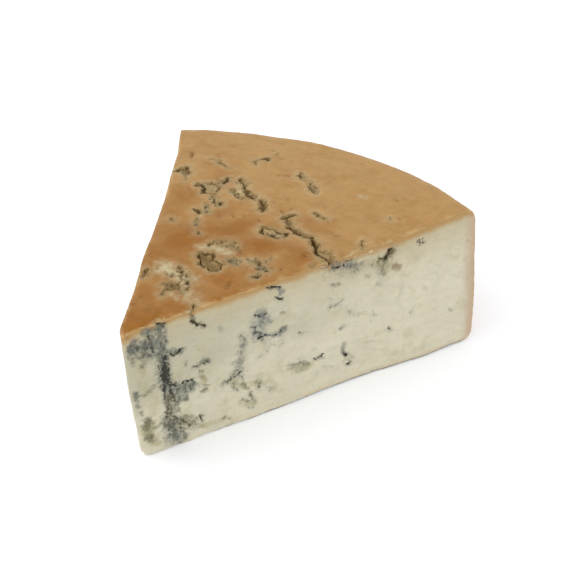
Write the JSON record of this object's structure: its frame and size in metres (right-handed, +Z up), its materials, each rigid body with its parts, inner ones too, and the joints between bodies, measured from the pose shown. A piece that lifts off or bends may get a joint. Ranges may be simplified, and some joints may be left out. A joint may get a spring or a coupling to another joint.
{
  "type": "wedge of blue cheese",
  "caption": "Wedge cut from a flat wheel of blue cheese, with an orange-tan rind on its top, rim and base and mould-veined ivory cut faces.",
  "frame": {"origin": "centre of the bounding box at its base, on the surface that the wedge rests on", "axes": "+Z up, from the base to the top rind; +Y from the wedge's tip towards its rind rim; +X to the right seen from the tip"},
  "size_m": [0.1292, 0.1264, 0.0552],
  "materials": {
    "cheese": "moist ivory paste with blue-green mould on the cut faces, satin orange-tan rind on the top, the rim and the base"
  },
  "bodies": {
    "root": {"cheese_wedge": "cheese"}
  },
  "joints": []
}
